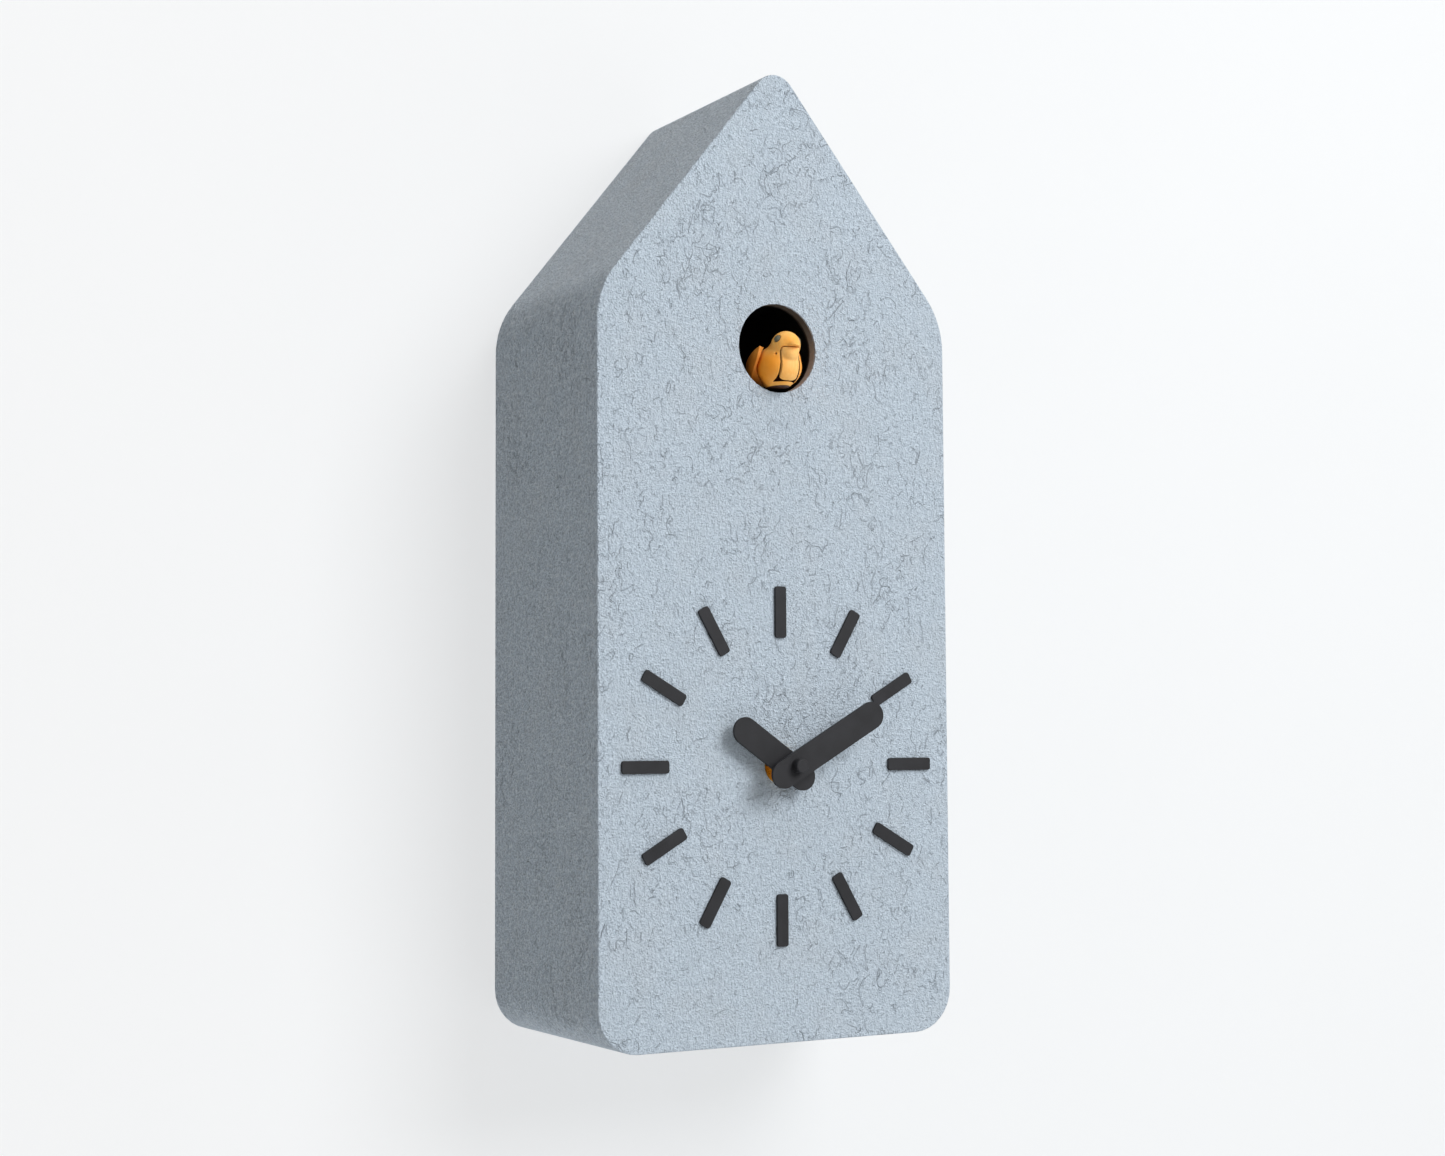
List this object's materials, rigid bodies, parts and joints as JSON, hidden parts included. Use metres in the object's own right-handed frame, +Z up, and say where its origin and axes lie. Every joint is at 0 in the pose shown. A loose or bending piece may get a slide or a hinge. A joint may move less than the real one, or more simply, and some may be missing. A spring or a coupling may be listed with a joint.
{
  "type": "wall cuckoo clock",
  "caption": "House-shaped wall clock in cement-look plaster with dark hour bars, two hands and a small bird that slides out of a round hole.",
  "frame": {"origin": "where the wall screw carries the hanger plate: the top of the keyhole slot, on the wall plane", "axes": "+Z up, +Y into the wall, so the dial faces -Y, +X to the right as seen from the front"},
  "size_m": [0.17, 0.118, 0.4075],
  "materials": {
    "plaster": "grey-blue cement-look plaster with fine chipped relief, matte",
    "board": "raw fibreboard",
    "charcoal": "matte charcoal with a fine grain",
    "brass": "turned brass",
    "steel": "zinc-plated steel",
    "black_plastic": "moulded black plastic, fine spark texture",
    "grey_plastic": "moulded grey plastic",
    "white_plastic": "natural white moulded plastic",
    "bird": "satin orange-yellow, wood-like streaks",
    "wing": "satin dark orange-brown",
    "eye": "glossy dark brown",
    "paper": "black pulp speaker cone",
    "cell": "printed film sleeve in one plain colour"
  },
  "bodies": {
    "root": {"base_board": "board", "right_side": "board", "right_roof": "board", "left_roof": "board", "left_side": "board", "front_covering": "plaster", "side_covering": "plaster", "front_panel": "board", "back_panel": "board", "back_screw_lower_left": "steel", "back_screw_lower_right": "steel", "back_screw_upper_left": "steel", "back_screw_upper_right": "steel", "hanger_plate": "steel", "hanger_screw_left": "steel", "hanger_screw_right": "steel", "hour_bar_1": "charcoal", "hour_bar_2": "charcoal", "hour_bar_3": "charcoal", "hour_bar_4": "charcoal", "hour_bar_5": "charcoal", "hour_bar_6": "charcoal", "hour_bar_7": "charcoal", "hour_bar_8": "charcoal", "hour_bar_9": "charcoal", "hour_bar_10": "charcoal", "hour_bar_11": "charcoal", "hour_bar_12": "charcoal", "movement_front_shell": "black_plastic", "movement_rear_shell": "black_plastic", "dial_washer": "brass", "mounting_nut": "brass", "battery_left": "cell", "battery_right": "cell", "bird_frame": "black_plastic", "bird_motor": "steel", "speaker_basket": "steel", "speaker_magnet": "steel", "speaker_cone": "paper"},
    "minute_train": {"minute_arbor": "steel", "minute_hand": "charcoal", "hand_cap": "charcoal", "setting_knob": "white_plastic"},
    "hour_train": {"hour_wheel": "white_plastic", "hour_hand": "charcoal"},
    "reverser": {"reverser_wheel": "white_plastic"},
    "bird": {"bird_carriage": "grey_plastic", "bird_body": "bird", "left_wing": "wing", "right_wing": "wing", "left_eye": "eye", "right_eye": "eye", "beak_pin": "steel"},
    "beak": {"lower_beak": "bird"},
    "drive_gear": {"drive_wheel": "white_plastic"},
    "motor_gear": {"motor_pinion": "brass"},
    "cell_lid": {"battery_lid": "black_plastic"},
    "volume": {"volume_knob": "white_plastic"},
    "night_slider": {"night_switch": "white_plastic"}
  },
  "joints": [
    {"name": "minute_turn", "type": "hinge", "parent": "root", "child": "minute_train", "pos_m": [0, -0.1, -0.2355], "axis": [0, 1, 0], "continuous": true},
    {"name": "hour_turn", "type": "hinge", "parent": "root", "child": "hour_train", "pos_m": [0, -0.1, -0.2355], "axis": [0, 1, 0], "continuous": true},
    {"name": "reverser_turn", "type": "hinge", "parent": "root", "child": "reverser", "pos_m": [0, -0.09, -0.2235], "axis": [0, 1, 0], "continuous": true},
    {"name": "bird_slide", "type": "slide", "parent": "root", "child": "bird", "axis": [0, -1, 0], "range_m": [-0.01, 0.016]},
    {"name": "beak_open", "type": "hinge", "parent": "bird", "child": "beak", "pos_m": [0, -0.1079, -0.0639], "axis": [1, 0, 0], "range_deg": [0, 12], "stiffness_Nm_per_rad": 0.0002, "springref_deg": -17.19},
    {"name": "drive_turn", "type": "hinge", "parent": "root", "child": "drive_gear", "pos_m": [0, -0.06, -0.09178], "axis": [1, 0, 0], "range_deg": [-120, 191.5]},
    {"name": "motor_turn", "type": "hinge", "parent": "root", "child": "motor_gear", "pos_m": [0.02, -0.05025, -0.09787], "axis": [1, 0, 0], "range_deg": [-688, 430]},
    {"name": "lid_open", "type": "hinge", "parent": "root", "child": "cell_lid", "pos_m": [0.0391, -0.06225, -0.20555], "axis": [1, 0, 0], "range_deg": [0, 100]},
    {"name": "volume_turn", "type": "hinge", "parent": "root", "child": "volume", "pos_m": [-0.015, -0.062, -0.2565], "axis": [0, 1, 0], "range_deg": [-135, 135]},
    {"name": "night_slide", "type": "slide", "parent": "root", "child": "night_slider", "axis": [1, 0, 0], "range_m": [-0.002, 0.002]}
  ],
  "couplings": [
    {"joint": "hour_turn", "follows": "minute_turn", "ratio": 0.083333},
    {"joint": "reverser_turn", "follows": "minute_turn", "ratio": -0.33333},
    {"joint": "drive_turn", "follows": "bird_slide", "rad_per_m": 208.33},
    {"joint": "motor_turn", "follows": "bird_slide", "rad_per_m": -750}
  ]
}
